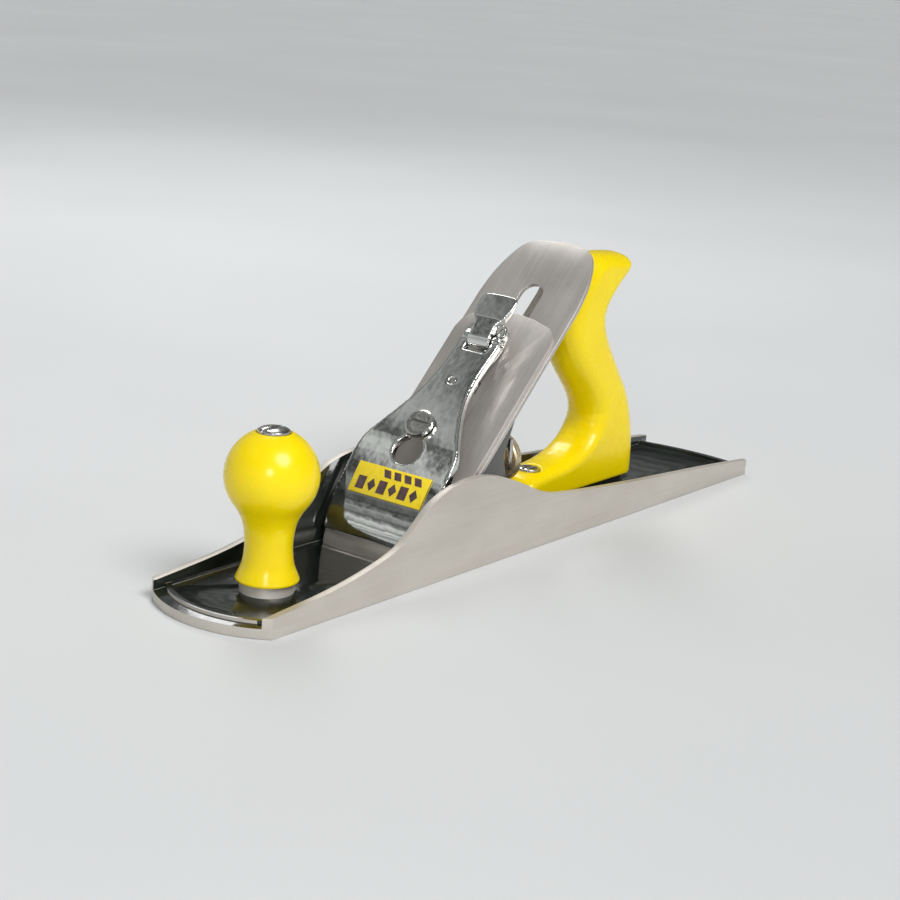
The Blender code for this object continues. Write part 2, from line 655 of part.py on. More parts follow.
def lever_cap_screw():
    foot = on_slope(CAP_SCREW_T, 0, -9 * MM)
    shank, length, head, head_height, slot = 3.0 * MM, 28.1 * MM, 6.2 * MM, 2.8 * MM, 1.4 * MM
    return slotted_screw("lever_cap_screw", foot, OFF_SLOPE, shank, length, head, head_height, slot)


# The cap's upper face in side view (t, n) and its plan (t, half width), in millimetres
CAP_PROFILE = ((6.6, 8.2), (10, 10.4), (15, 12.4), (22, 14.4), (30, 16.2), (38, 17.5), (47, 18.4), (57, 18.6),
               (70, 18.0), (85, 16.6), (100, 15.2), (114, 14.4))
CAP_PLAN = ((40, 25), (47, 23.9), (53, 21), (60, 17.5), (68, 14), (77, 11.2), (86, 9.9), (96, 9.6),
            (104, 9.7), (110, 9.6))
CAP_NOSE = 1.3          # thickness at the nose, growth per millimetre up the slope, full thickness
CAP_TAPER = 0.18
CAP_THICKNESS = 3.6


def cap_face(t):
    """Height of the cap's upper face at a distance up the slope, both in millimetres."""
    for (t_low, n_low), (t_high, n_high) in zip(CAP_PROFILE, CAP_PROFILE[1:]):
        if t <= t_high:
            return n_low + (n_high - n_low) * (t - t_low) / (t_high - t_low)
    return CAP_PROFILE[-1][1]


def lever_cap():
    """Arched plate: wide over the chip breaker, necked above the keyhole, forked for the cam lever."""
    over = through(CAP_PROFILE, 3)
    nose = CAP_PROFILE[0][0]
    under = [(t, n - min(CAP_NOSE + (t - nose) * CAP_TAPER, CAP_THICKNESS)) for t, n in reversed(over)]
    cap = prism("lever_cap", [in_mm(over + under)], -25 * MM, 25 * MM, BED_SIDE)
    half = [(MM, 25 * MM)] + in_mm(through(CAP_PLAN, 3)) + in_mm([(112.6, 8.9), (114, 7.4)])
    combine(cap, prism("cap_outline", [mirrored(half)], 0, 30 * MM, BED), "INTERSECT")
    for side in (-1, 1):
        join(cap, rod(f"cam_ear_{side}", 3.0 * MM, on_slope(CAM_T, side * 5 * MM, CAM_N),
                      on_slope(CAM_T, side * 9.4 * MM, CAM_N), 20))
    wide_t = CAP_SCREW_T - CAP_TRAVEL
    below, above = 5 * MM, 30 * MM
    narrow = slot_outline(wide_t, CAP_SCREW_T + GAP, 3.6 * MM)
    cut(cap, prism("cap_keyhole", [narrow], below, above, BED))
    cut(cap, rod("cap_keyhole_wide", 6.9 * MM, on_slope(wide_t, 0, below), on_slope(wide_t, 0, above), 28))
    cut(cap, block("cam_slot", (CAM_T - 7.2 * MM, -5.7 * MM, 0), (140 * MM, 5.7 * MM, above), BED))
    pin_axis = on_slope(CAM_T, -20 * MM, CAM_N), on_slope(CAM_T, 20 * MM, CAM_N)
    cut(cap, rod("cam_pin_hole", 1.5 * MM, *pin_axis, 12))
    rivet_axis = on_slope(SPRING_RIVET_T, 0, below), on_slope(SPRING_RIVET_T, 0, above)
    cut(cap, rod("spring_rivet_hole", 1.9 * MM, *rivet_axis, 12))
    chrome(cap)
    return cap


def cam_lever():
    """Locking lever: a cam between the cap's prongs and a thumb plate that lies over them."""
    half_width = 5.3 * MM
    barrel = on_slope(CAM_T, -half_width, CAM_N), on_slope(CAM_T, half_width, CAM_N)
    cam = rod("cam_lever", 4.7 * MM, *barrel, 28)
    lobe_low = (CAM_T - 1.6 * MM, -half_width, CAM_N - 6.8 * MM)
    join(cam, block("cam_lobe", lobe_low, (CAM_T + 1.6 * MM, half_width, CAM_N), BED))
    plate = in_mm([(102.6, 15), (114, 15.4), (126.5, 16.7), (126.5, 18), (114, 18.6), (104.5, 17.6)])
    thumb = in_mm([(101, 5.3), (111, 5.3), (114.5, 7.6), (119, 8.7), (124, 8.9), (126, 7.4), (126.5, 3)])
    tab = prism("cam_tab", [plate], -9 * MM, 9 * MM, BED_SIDE)
    combine(tab, prism("cam_tab_outline", [mirrored(thumb)], 0, 30 * MM, BED), "INTERSECT")
    join(cam, tab)
    cut(cam, rod("cam_bore", 1.5 * MM, on_slope(CAM_T, -10 * MM, CAM_N), on_slope(CAM_T, 10 * MM, CAM_N), 12))
    chrome(cam)
    return pivot_at(cam, on_slope(CAM_T, 0, CAM_N))


def cam_pin():
    pin = rod("cam_pin", 1.2 * MM, on_slope(CAM_T, -9.5 * MM, CAM_N), on_slope(CAM_T, 9.5 * MM, CAM_N), 14)
    smooth(pin)
    steel(pin)
    return pin


def lever_cap_spring():
    """Leaf spring under the top of the lever cap; the cam presses it on the chip breaker."""
    under = through([(76, 12.1), (86, 11.8), (92, 10.0), (99, 6.4), (106, 5.0), (111, 5.2)], 4)
    over = [(t, n + 0.8) for t, n in reversed(under)]
    spring = prism("lever_cap_spring", [in_mm(under + over)], -5.2 * MM, 5.2 * MM, BED_SIDE)
    low, high = on_slope(SPRING_RIVET_T, 0, 5 * MM), on_slope(SPRING_RIVET_T, 0, 25 * MM)
    cut(spring, rod("spring_hole", 1.9 * MM, low, high, 12))
    steel(spring)
    top = cap_face(SPRING_RIVET_T / MM) * MM
    foot = on_slope(SPRING_RIVET_T, 0, 11.6 * MM)
    rivet = rod("spring_rivet", 1.6 * MM, foot, on_slope(SPRING_RIVET_T, 0, top), 14)
    smooth(rivet)
    steel(rivet)
    return spring, rivet


def label_plate():
    """Thin foil label on the broad face of the lever cap."""
    low, high, steps = 22.5, 35.5, 6
    lift = 0.35
    places = [low + (high - low) * i / steps for i in range(steps + 1)]
    face = [(t, cap_face(t)) for t in places]
    side = in_mm([(t, n + lift) for t, n in face] + [(t, n + 2 * lift) for t, n in reversed(face)])
    label = prism("label_plate", [side], -18.5 * MM, 18.5 * MM, BED_SIDE)
    paint(label, "label_foil", (0.9, 0.62, 0.0), 0.35, 0)
    return label


# Handles

def front_knob():
    """Turned ball on a waisted neck, bored for its bolt."""
    bore = BOLT_RADIUS + GAP
    pocket = 6.6 * MM
    ball_start = 90 - degrees(asin(pocket / BALL_RADIUS))
    ball = arc(0, BALL_Z, BALL_RADIUS, ball_start, -48, 14)
    waist = in_mm([(9.6, 30.5), (8.8, 24.5), (8.8, 19.5), (9.8, 14), (11.6, 10.4)])
    neck = through([ball[-1]] + waist + [(KNOB_FOOT, KNOB_BASE + 0.9 * MM)], 2)[1:]
    nut_seat = 60 * MM
    foot = [(KNOB_FOOT, KNOB_BASE), (bore, KNOB_BASE), (bore, nut_seat)]
    profile = [(pocket, nut_seat)] + ball + neck + foot
    knob = turned("front_knob", profile, (KNOB_X, 0, 0), (0, 0, 1), 36)
    plastic(knob)
    return knob


def barrel_nut(name, foot, axis, radius, height):
    """Round slotted nut that sits in a handle's pocket and takes the bolt's end."""
    bore = BOLT_RADIUS + GAP
    bottom = height * 0.45
    outside = [(0, height), (radius * 0.8, height - 0.2 * MM), (radius, height - 0.9 * MM), (radius, 0)]
    profile = outside + [(bore, 0), (bore, bottom), (0, bottom)]
    nut = turned(name, profile, foot, axis, 24)
    frame = Matrix.Translation(foot) @ nut.rotation_euler.to_matrix().to_4x4()
    slot_low, slot_high = (-9 * MM, -0.8 * MM, height - 1.6 * MM), (9 * MM, 0.8 * MM, height + MM)
    cut(nut, block(name + "_slot", slot_low, slot_high, frame))
    steel(nut)
    return nut


def knob_fasteners():
    bolt = rod("knob_bolt", BOLT_RADIUS, (KNOB_X, 0, 2.6 * MM), (KNOB_X, 0, 62.5 * MM), 16)
    smooth(bolt)
    steel(bolt)
    barrel_nut("knob_nut", (KNOB_X, 0, 60.3 * MM), (0, 0, 1), 6.2 * MM, 6.9 * MM)


# Side view (x, z) of the tote above its base, from the heel round the horn to the toe, in millimetres
TOTE_OUTLINE = ((-105, 12), (-104.8, 22), (-103, 32), (-100.2, 41), (-96.6, 49), (-92, 56), (-86.6, 63),
                (-81.4, 70), (-76.6, 77), (-73.4, 84), (-73.4, 90), (-76, 95), (-80.4, 99.4), (-85.2, 103),
                (-88, 107.4), (-86, 112.8), (-76, 114.4), (-64, 114.6), (-55, 113), (-47.5, 106),
                (-41.5, 96), (-39.5, 86), (-41, 77), (-46.5, 68), (-54, 59), (-61.5, 51), (-66.5, 44),
                (-67.5, 37.4), (-63.5, 31), (-55, 26), (-43, 23), (-28, 21.6), (-20, 20), (-16.6, 16),
                (-16, 12))


def inward(outline, index):
    """Unit normal into a closed outline at one of its points, level at the two corners of the base."""
    before, here, after = outline[index - 1], outline[index], outline[(index + 1) % len(outline)]
    if here[1] <= TOTE_BASE:
        return Vector((1 if before[1] <= TOTE_BASE else -1, 0))
    along = Vector((after[0] - before[0], after[1] - before[1])).normalized()
    return Vector((along.y, -along.x))


def room(outline, index, normal):
    """Distance across the outline from one point, along its inward normal."""
    here = Vector(outline[index])
    nearest = LENGTH
    for start, end in zip(outline, outline[1:] + outline[:1]):
        near, far = here + normal * MM, here + normal * LENGTH
        crossing = geometry.intersect_line_line_2d(near, far, Vector(start), Vector(end))
        if crossing:
            nearest = min(nearest, (crossing - here).length)
    return nearest


def rounding(outline, normals):
    """How far each point of the outline is drawn in at the tote's sides."""
    count = len(outline)
    depths = [min(TOTE_ROUNDING, TOTE_ROUNDED_SHARE * room(outline, i, normals[i])) for i in range(count)]
    near = range(-TOTE_SPREAD, TOTE_SPREAD + 1)
    return [min(depths[(i + offset) % count] for offset in near) for i in range(count)]


def tote():
    """Rear handle: rings of one outline, drawn in towards both sides for a well rounded grip."""
    heel, toe = TOTE_OUTLINE[0][0] * MM, TOTE_OUTLINE[-1][0] * MM
    outline = in_mm(through(TOTE_OUTLINE, 2)) + [(toe, TOTE_BASE), (heel, TOTE_BASE)]
    normals = [inward(outline, i) for i in range(len(outline))]
    depths = rounding(outline, normals)
    mesh = bmesh.new()
    rings = []
    for step in range(-TOTE_STEPS, TOTE_STEPS + 1):
        turn = radians(90) * step / TOTE_STEPS
        y = TOTE_HALF_WIDTH * sin(turn)
        insets = [normal * depth * (1 - cos(turn)) for normal, depth in zip(normals, depths)]
        ring = [(x + inset.x, y, z + inset.y) for (x, z), inset in zip(outline, insets)]
        rings.append([mesh.verts.new(place) for place in ring])
    for ring, following in zip(rings, rings[1:]):
        for i in range(len(outline)):
            mesh.faces.new((ring[i - 1], ring[i], following[i], following[i - 1]))
    mesh.faces.new(rings[0][::-1])
    mesh.faces.new(rings[-1])
    bmesh.ops.recalc_face_normals(mesh, faces=mesh.faces)
    shape = bpy.data.meshes.new("tote")
    mesh.to_mesh(shape)
    mesh.free()
    handle = finish("tote", shape)
    bore_tote(handle)
    plastic(handle)
    smooth(handle, 40)
    return handle


def bore_tote(handle):
    """Bores and pockets for the long bolt with its nut and for the toe screw."""
    cut(handle, tote_line("tote_bore", BOLT_RADIUS + GAP, -12 * MM, 120 * MM))
    cut(handle, tote_line("tote_pocket", 6.5 * MM, tote_length() - 5 * MM, 130 * MM))
    high = (TOE_SCREW_X, 0, 40 * MM)
    cut(handle, rod("toe_screw_bore", 2.6 * MM, (TOE_SCREW_X, 0, 0), high, 16))
    cut(handle, rod("toe_screw_pocket", 5.2 * MM, (TOE_SCREW_X, 0, 19 * MM), high, 20))


def tote_length():
    return hypot(TOTE_BOLT_HEAD[0] - TOTE_BOLT_FOOT[0], TOTE_BOLT_HEAD[1] - TOTE_BOLT_FOOT[1])


def tote_direction():
    foot, head = TOTE_BOLT_FOOT, TOTE_BOLT_HEAD
    return Vector((head[0] - foot[0], 0, head[1] - foot[1])).normalized()


def on_tote_bolt(distance):
    """A point on the axis of the tote bolt, at a distance from the foot of the tote."""
    return Vector((TOTE_BOLT_FOOT[0], 0, TOTE_BOLT_FOOT[1])) + tote_direction() * distance


def tote_line(name, radius, start, end):
    """A rod on the axis of the tote bolt, between two distances from the foot of the tote."""
    return rod(name, radius, on_tote_bolt(start), on_tote_bolt(end), 20)


def tote_fasteners():
    bolt = tote_line("tote_bolt", BOLT_RADIUS, -2.6 * MM, tote_length() - 2 * MM)
    smooth(bolt)
    steel(bolt)
    nut_foot = on_tote_bolt(tote_length() - 5 * MM + GAP)
    barrel_nut("tote_nut", nut_foot, tote_direction(), 6.1 * MM, 7.5 * MM)
    toe_foot = (TOE_SCREW_X, 0, 2.5 * MM)
    slotted_screw("tote_toe_screw", toe_foot, (0, 0, 1), 2.1 * MM, 17 * MM, 4.8 * MM, 3 * MM)


def build():
    plane_body()
    frog_fasteners()
    frog_plate_screw()
    frog_group = [frog(), frog_adjusting_plate(), depth_stud(), yoke_pin()]
    hang(joint_empty("frog_slide", (0, 0, SEAT_TOP)), *frog_group)
    hang(joint_empty("frog_screw_axis", (3 * MM, 0, FROG_ADJUST_Z)), frog_adjusting_screw())
    hang(joint_empty("depth_nut_axis", (0, 0, STUD_Z)), depth_adjusting_nut())
    depth_yoke()
    lateral_lever()
    lateral_pins()
    plane_iron()
    chip_breaker()
    cap_iron_screw()
    lever_cap_screw()
    cap_group = [lever_cap(), cam_pin(), label_plate(), *lever_cap_spring()]
    hang(joint_empty("lever_cap_slide", on_slope(CAP_SCREW_T, 0, 0)), *cap_group)
    cam_lever()
    front_knob()
    knob_fasteners()
    tote()
    tote_fasteners()


for leftover in list(bpy.data.objects):
    bpy.data.objects.remove(leftover)

PARTS = new_collection("hand_plane")
CUTTERS = new_collection("cutters")
GUIDES = new_collection("joint_guides")
build()
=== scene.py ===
import json
from math import cos, pi, radians, sin

import bmesh
import bpy
from mathutils import Matrix, Vector

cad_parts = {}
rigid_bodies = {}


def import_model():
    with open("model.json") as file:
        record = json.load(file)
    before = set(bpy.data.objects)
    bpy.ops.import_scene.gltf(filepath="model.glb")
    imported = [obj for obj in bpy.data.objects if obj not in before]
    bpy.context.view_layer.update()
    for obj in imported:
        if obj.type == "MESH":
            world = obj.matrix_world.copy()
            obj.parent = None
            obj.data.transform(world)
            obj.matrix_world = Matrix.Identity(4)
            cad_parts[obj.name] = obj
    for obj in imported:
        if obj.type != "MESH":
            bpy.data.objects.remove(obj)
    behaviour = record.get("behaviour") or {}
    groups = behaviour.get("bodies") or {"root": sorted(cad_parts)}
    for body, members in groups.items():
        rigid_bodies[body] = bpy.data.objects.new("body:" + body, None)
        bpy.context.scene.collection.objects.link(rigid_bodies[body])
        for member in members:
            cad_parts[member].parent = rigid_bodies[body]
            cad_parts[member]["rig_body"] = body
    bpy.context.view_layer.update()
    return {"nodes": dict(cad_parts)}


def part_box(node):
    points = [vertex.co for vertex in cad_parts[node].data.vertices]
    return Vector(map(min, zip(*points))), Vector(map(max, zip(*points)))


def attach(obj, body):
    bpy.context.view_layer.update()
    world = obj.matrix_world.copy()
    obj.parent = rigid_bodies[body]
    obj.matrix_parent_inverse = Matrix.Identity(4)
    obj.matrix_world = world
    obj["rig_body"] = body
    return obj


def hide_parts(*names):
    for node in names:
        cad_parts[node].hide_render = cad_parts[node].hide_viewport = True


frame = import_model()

MM = 0.001

# The bed slope: t runs up it from the mouth, n stands off it
MOUTH_X = 75.3 * MM
BED_ANGLE = radians(45)
UP_SLOPE = Vector((-cos(BED_ANGLE), 0, sin(BED_ANGLE)))
OFF_SLOPE = Vector((sin(BED_ANGLE), 0, cos(BED_ANGLE)))

# Body casting
BODY_LOW, BODY_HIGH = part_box("plane_body")
CHEEK_THICKNESS = 3.0 * MM
TOE_END, HEEL_END = 165 * MM, -172 * MM     # the ground end faces lie beyond these
BOSS_RADIUS, BOSS_HEIGHT = 11 * MM, 3.2 * MM

# Front knob, a ball on a waisted neck
KNOB_LOW, KNOB_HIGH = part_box("front_knob")
KNOB_CENTRE = (KNOB_LOW + KNOB_HIGH) / 2
BALL_RADIUS = (KNOB_HIGH.x - KNOB_LOW.x) / 2
BALL_Z = 48.9 * MM

# Ink on the label
INK_PROUD, INK_SUNK = 0.12 * MM, 0.05 * MM
LABEL_FACE = 16 * MM            # the label's height off the slope, where a ray finds no face


def on_slope(t, y, n):
    return Vector((MOUTH_X, y, 0)) + UP_SLOPE * t + OFF_SLOPE * n


# Material nodes

class Surface:
    """A Principled material with short calls for the nodes that vary it."""

    def __init__(self, name, colour, roughness, metallic):
        self.material = bpy.data.materials.new(name)
        self.material.use_nodes = True
        self.nodes = self.material.node_tree.nodes
        self.links = self.material.node_tree.links
        self.shader = self.nodes["Principled BSDF"]
        self.shader.inputs["Base Color"].default_value = (*colour, 1)
        self.shader.inputs["Roughness"].default_value = roughness
        self.shader.inputs["Metallic"].default_value = metallic
        self.place = self.nodes.new("ShaderNodeTexCoord").outputs["Object"]

    def mapped(self, scale, tilt=0.0):
        """Object coordinates, turned about Y by tilt and stretched by scale."""
        turned = self.nodes.new("ShaderNodeMapping")
        turned.inputs["Rotation"].default_value = (0, tilt, 0)
        stretched = self.nodes.new("ShaderNodeMapping")
        stretched.inputs["Scale"].default_value = scale
        self.links.new(self.place, turned.inputs["Vector"])
        self.links.new(turned.outputs["Vector"], stretched.inputs["Vector"])
        return stretched.outputs["Vector"]

    def noise(self, vector, scale, detail=3.0, roughness=0.5):
        node = self.nodes.new("ShaderNodeTexNoise")
        node.inputs["Scale"].default_value = scale
        node.inputs["Detail"].default_value = detail
        node.inputs["Roughness"].default_value = roughness
        self.links.new(vector or self.place, node.inputs["Vector"])
        return node.outputs["Fac"]

    def ramp(self, value, *stops):
        """Colour or grey stops (position, colour) over a value."""
        node = self.nodes.new("ShaderNodeValToRGB")
        while len(node.color_ramp.elements) < len(stops):
            node.color_ramp.elements.new(0.5)
        for element, (position, colour) in zip(node.color_ramp.elements, stops):
            element.position = position
            element.color = (*colour, 1) if isinstance(colour, tuple) else (colour, colour, colour, 1)
        self.links.new(value, node.inputs["Fac"])
        return node.outputs["Color"]

    def mix(self, share, first, second):
        """Two colour outputs, with a fixed share of the second."""
        node = self.nodes.new("ShaderNodeMix")
        node.data_type = "RGBA"
        node.inputs[0].default_value = share
        self.links.new(first, node.inputs[6])
        self.links.new(second, node.inputs[7])
        return node.outputs[2]

    def colour(self, output):
        self.links.new(output, self.shader.inputs["Base Color"])

    def roughness(self, output):
        self.links.new(output, self.shader.inputs["Roughness"])

    def bump(self, height, distance, strength=1.0):
        """Adds a layer of relief, its height in metres, over any made before."""
        node = self.nodes.new("ShaderNodeBump")
        node.inputs["Strength"].default_value = strength
        node.inputs["Distance"].default_value = distance
        self.links.new(height, node.inputs["Height"])
        earlier = self.shader.inputs["Normal"].links
        if earlier:
            self.links.new(earlier[0].from_socket, node.inputs["Normal"])
        self.links.new(node.outputs["Normal"], self.shader.inputs["Normal"])


def yellow_plastic():
    made = Surface("yellow_plastic", (1.0, 0.64, 0.0), 0.25, 0)
    cloud = made.noise(None, 55, 3)
    made.colour(made.ramp(cloud, (0.3, (0.97, 0.715, 0.0)), (0.7, (0.99, 0.76, 0.0))))
    made.roughness(made.ramp(made.noise(None, 240, 4), (0.3, 0.2), (0.75, 0.32)))
    made.bump(made.noise(None, 900, 2), 0.00003, 0.35)
    made.shader.inputs["Specular IOR Level"].default_value = 0.35
    made.shader.inputs["Coat Weight"].default_value = 0.12
    made.shader.inputs["Coat Roughness"].default_value = 0.08
    made.shader.inputs["Subsurface Weight"].default_value = 0.12
    made.shader.inputs["Subsurface Radius"].default_value = (0.006, 0.003, 0.0005)
    return made.material


def japanning():
    """Thick black enamel over rough cast iron."""
    made = Surface("japanning", (0.012, 0.015, 0.013), 0.15, 0)
    cloud = made.noise(None, 70, 4)
    made.colour(made.ramp(cloud, (0.3, (0.005, 0.007, 0.006)), (0.75, (0.016, 0.021, 0.017))))
    made.roughness(made.ramp(made.noise(None, 320, 4), (0.3, 0.09), (0.75, 0.24)))
    made.bump(made.noise(None, 260, 3), 0.00025, 0.3)
    made.bump(made.noise(None, 1400, 2), 0.00006, 0.25)
    made.shader.inputs["Coat Weight"].default_value = 0.6
    made.shader.inputs["Coat Roughness"].default_value = 0.05
    return made.material


def ground_iron():
    """Surface-ground cast iron: fine lines along the length and a few stains."""
    made = Surface("ground_iron", (0.6, 0.57, 0.53), 0.45, 0.45)
    lines = made.noise(made.mapped((14, 2600, 2600)), 1, 3, 0.6)
    cloud = made.noise(made.mapped((1, 2, 2)), 26, 4, 0.6)
    base = made.ramp(cloud, (0.3, (0.56, 0.515, 0.465)), (0.72, (0.64, 0.60, 0.55)))
    made.colour(made.mix(0.2, base, made.ramp(lines, (0.3, (0.46, 0.42, 0.37)), (0.7, (0.76, 0.72, 0.66)))))
    made.roughness(made.ramp(made.noise(made.mapped((9, 900, 900)), 1, 4), (0.25, 0.42), (0.75, 0.56)))
    made.bump(lines, 0.00004, 0.28)
    return made.material


def blade_steel():
    """Ground tool steel with fine lines that run up the slope."""
    made = Surface("blade_steel", (0.6, 0.57, 0.54), 0.4, 0.6)
    lines = made.noise(made.mapped((3000, 3000, 26), BED_ANGLE), 1, 3, 0.6)
    cloud = made.noise(None, 34, 4, 0.6)
    base = made.ramp(cloud, (0.3, (0.47, 0.435, 0.405)), (0.75, (0.64, 0.605, 0.575)))
    made.colour(made.mix(0.28, base, made.ramp(lines, (0.3, (0.38, 0.345, 0.32)), (0.7, (0.78, 0.74, 0.70)))))
    wear = made.noise(made.mapped((700, 700, 12), BED_ANGLE), 1, 4)
    made.roughness(made.ramp(wear, (0.25, 0.30), (0.75, 0.48)))
    made.bump(lines, 0.00003, 0.35)
    return made.material


def chrome():
    """Bright plating over a polished casting, a little uneven, with fine handling marks."""
    made = Surface("chrome", (0.72, 0.72, 0.70), 0.08, 1)
    cloud = made.noise(None, 60, 3)
    made.colour(made.ramp(cloud, (0.3, (0.66, 0.665, 0.645)), (0.75, (0.78, 0.775, 0.76))))
    made.roughness(made.ramp(made.noise(None, 420, 5, 0.6), (0.3, 0.035), (0.8, 0.13)))
    made.bump(made.noise(None, 120, 2), 0.00035, 0.22)
    made.bump(made.noise(made.mapped((2200, 2200, 60), BED_ANGLE), 1, 2), 0.00002, 0.2)
    return made.material


def bright_steel():
    """Turned and polished screws, nuts and pins."""
    made = Surface("bright_steel", (0.62, 0.61, 0.59), 0.22, 1)
    made.colour(made.ramp(made.noise(None, 130, 4), (0.3, (0.52, 0.51, 0.49)), (0.75, (0.68, 0.67, 0.65))))
    made.roughness(made.ramp(made.noise(None, 700, 4), (0.3, 0.14), (0.8, 0.34)))
    made.bump(made.noise(None, 1500, 3), 0.00003, 0.3)
    return made.material


def brass():
    made = Surface("brass", (0.90, 0.73, 0.47), 0.34, 0.75)
    made.colour(made.ramp(made.noise(None, 320, 4), (0.3, (0.90, 0.73, 0.46)), (0.75, (0.97, 0.82, 0.56))))
    made.roughness(made.ramp(made.noise(None, 500, 4), (0.3, 0.2), (0.8, 0.4)))
    made.bump(made.noise(None, 1300, 3), 0.00004, 0.3)
    return made.material


def label_paint(name, low, high):
    """Printed foil: a flat ink with a slight mottle."""
    made = Surface(name, high, 0.32, 0)
    made.colour(made.ramp(made.noise(None, 420, 3), (0.3, low), (0.7, high)))
    made.roughness(made.ramp(made.noise(None, 800, 3), (0.3, 0.24), (0.8, 0.42)))
    made.bump(made.noise(None, 1600, 2), 0.00003, 0.3)
    return made.material


# Mesh work

def cad_mesh(node):
    """The CAD node's surface welded and with its flat faces whole again."""
    mesh = bmesh.new()
    mesh.from_mesh(frame["nodes"][node].data)
    bmesh.ops.remove_doubles(mesh, verts=mesh.verts, dist=2e-6)
    bmesh.ops.dissolve_limit(mesh, angle_limit=radians(0.4), verts=mesh.verts, edges=mesh.edges)
    return mesh


def piece_from(name, mesh, node, materials):
    """A shown piece that stands for a CAD node and rides on its body."""
    shape = bpy.data.meshes.new(name)
    mesh.to_mesh(shape)
    mesh.free()
    piece = bpy.data.objects.new(name, shape)
    bpy.context.scene.collection.objects.link(piece)
    for material in materials:
        shape.materials.append(material)
    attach(piece, frame["nodes"][node]["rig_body"])
    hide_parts(node)
    return piece


def bake(piece):
    """Puts the modifiers' result in the piece's own mesh."""
    graph = bpy.context.evaluated_depsgraph_get()
    materials = list(piece.data.materials)
    piece.data = bpy.data.meshes.new_from_object(piece.evaluated_get(graph))
    piece.modifiers.clear()
    for index, material in enumerate(materials):
        if index < len(piece.data.materials):
            piece.data.materials[index] = material
        else:
            piece.data.materials.append(material)


def smooth(piece, angle=32):
    piece.data.shade_smooth()
    piece.data.set_sharp_from_angle(angle=radians(angle))


def edged(node, material, width=0.25 * MM, segments=2, angle=32):
    """The CAD node with its sharp edges eased, which catch the light."""
    piece = piece_from(node + "_finished", cad_mesh(node), node, [material])
    ease = piece.modifiers.new("Eased edges", "BEVEL")
    ease.width = width
    ease.segments = segments
    ease.limit_method = "ANGLE"
    ease.angle_limit = radians(angle)
    ease.use_clamp_overlap = True
    ease.miter_outer = "MITER_ARC"
    whole = piece.modifiers.new("Triangles", "TRIANGULATE")
    whole.min_vertices = 5
    bake(piece)
    smooth(piece, 40)
    return piece


def cast(node, material, voxel, rounds, rim=0.0):
    """The CAD node as a casting or moulding: one even skin with softened edges."""
    piece = piece_from(node + "_finished", cad_mesh(node), node, [material])
    if rim:
        ease = piece.modifiers.new("Rim", "BEVEL")
        ease.width = rim
        ease.segments = 3
        ease.limit_method = "ANGLE"
        ease.angle_limit = radians(50)
    skin = piece.modifiers.new("Skin", "REMESH")
    skin.mode = "VOXEL"
    skin.voxel_size = voxel
    even = piece.modifiers.new("Even", "SMOOTH")
    even.factor = 0.5
    even.iterations = rounds
    bake(piece)
    piece.data.shade_smooth()
    return piece


def lathe(profile, foot, axis, segments):
    """A closed turned body. The profile is (radius, height) from the top of the bore round the outside."""
    mesh = bmesh.new()
    turn = axis.to_track_quat("Z", "Y")
    rings = []
    for radius, height in profile:
        ring = []
        for i in range(segments):
            angle = 2 * pi * i / segments
            place = Vector((radius * cos(angle), radius * sin(angle), height))
            ring.append(mesh.verts.new(foot + turn @ place))
        rings.append(ring)
    for ring, following in zip(rings, rings[1:] + rings[:1]):
        for i in range(segments):
            after = (i + 1) % segments
            mesh.faces.new((ring[i], following[i], following[after], ring[after]))
    bmesh.ops.recalc_face_normals(mesh, faces=mesh.faces)
    return mesh


def through(points, steps):
    """A smooth line through points, as points."""
    line = []
    for i in range(len(points) - 1):
        before = Vector(points[max(i - 1, 0)])
        start, end = Vector(points[i]), Vector(points[i + 1])
        after = Vector(points[min(i + 2, len(points) - 1)])
        for step in range(steps):
            k = step / steps
            square = (2 * before - 5 * start + 4 * end - after) * k ** 2
            cube = (3 * start - before - 3 * end + after) * k ** 3
            line.append(0.5 * (2 * start + (end - before) * k + square + cube))
    return line + [Vector(points[-1])]


# Pieces

def is_ground(polygon):
    """Faces of the body that are ground bare: sole, cheeks, ends, top edges and the boss under the knob."""
    centre, normal = polygon.center, polygon.normal
    edge_band = abs(centre.y) > BODY_HIGH.y - CHEEK_THICKNESS - 0.05 * MM
    outside = abs(centre.y) > BODY_HIGH.y - 0.6 * MM or centre.z < 0.6 * MM
    end = abs(normal.x) > 0.5 and centre.z < 8 * MM and not HEEL_END <= centre.x <= TOE_END
    from_knob = Vector((centre.x - KNOB_CENTRE.x, centre.y))
    boss = centre.z > KNOB_LOW.z - BOSS_HEIGHT and from_knob.length < BOSS_RADIUS
    return outside or end or boss or (edge_band and normal.z > 0.2)


def plane_body(iron, black):
    body = edged("plane_body", black, 0.35 * MM, 2, 30)
    body.data.materials.append(iron)
    for polygon in body.data.polygons:
        polygon.material_index = 1 if is_ground(polygon) else 0
    return body


def frog(iron, black):
    piece = edged("frog", black, 0.4 * MM, 2, 30)
    piece.data.materials.append(iron)
    for polygon in piece.data.polygons:
        face = (polygon.center - Vector((MOUTH_X, 0, 0))).dot(OFF_SLOPE)
        polygon.material_index = 1 if polygon.normal.dot(OFF_SLOPE) > 0.9 and face > -0.6 * MM else 0
    return piece


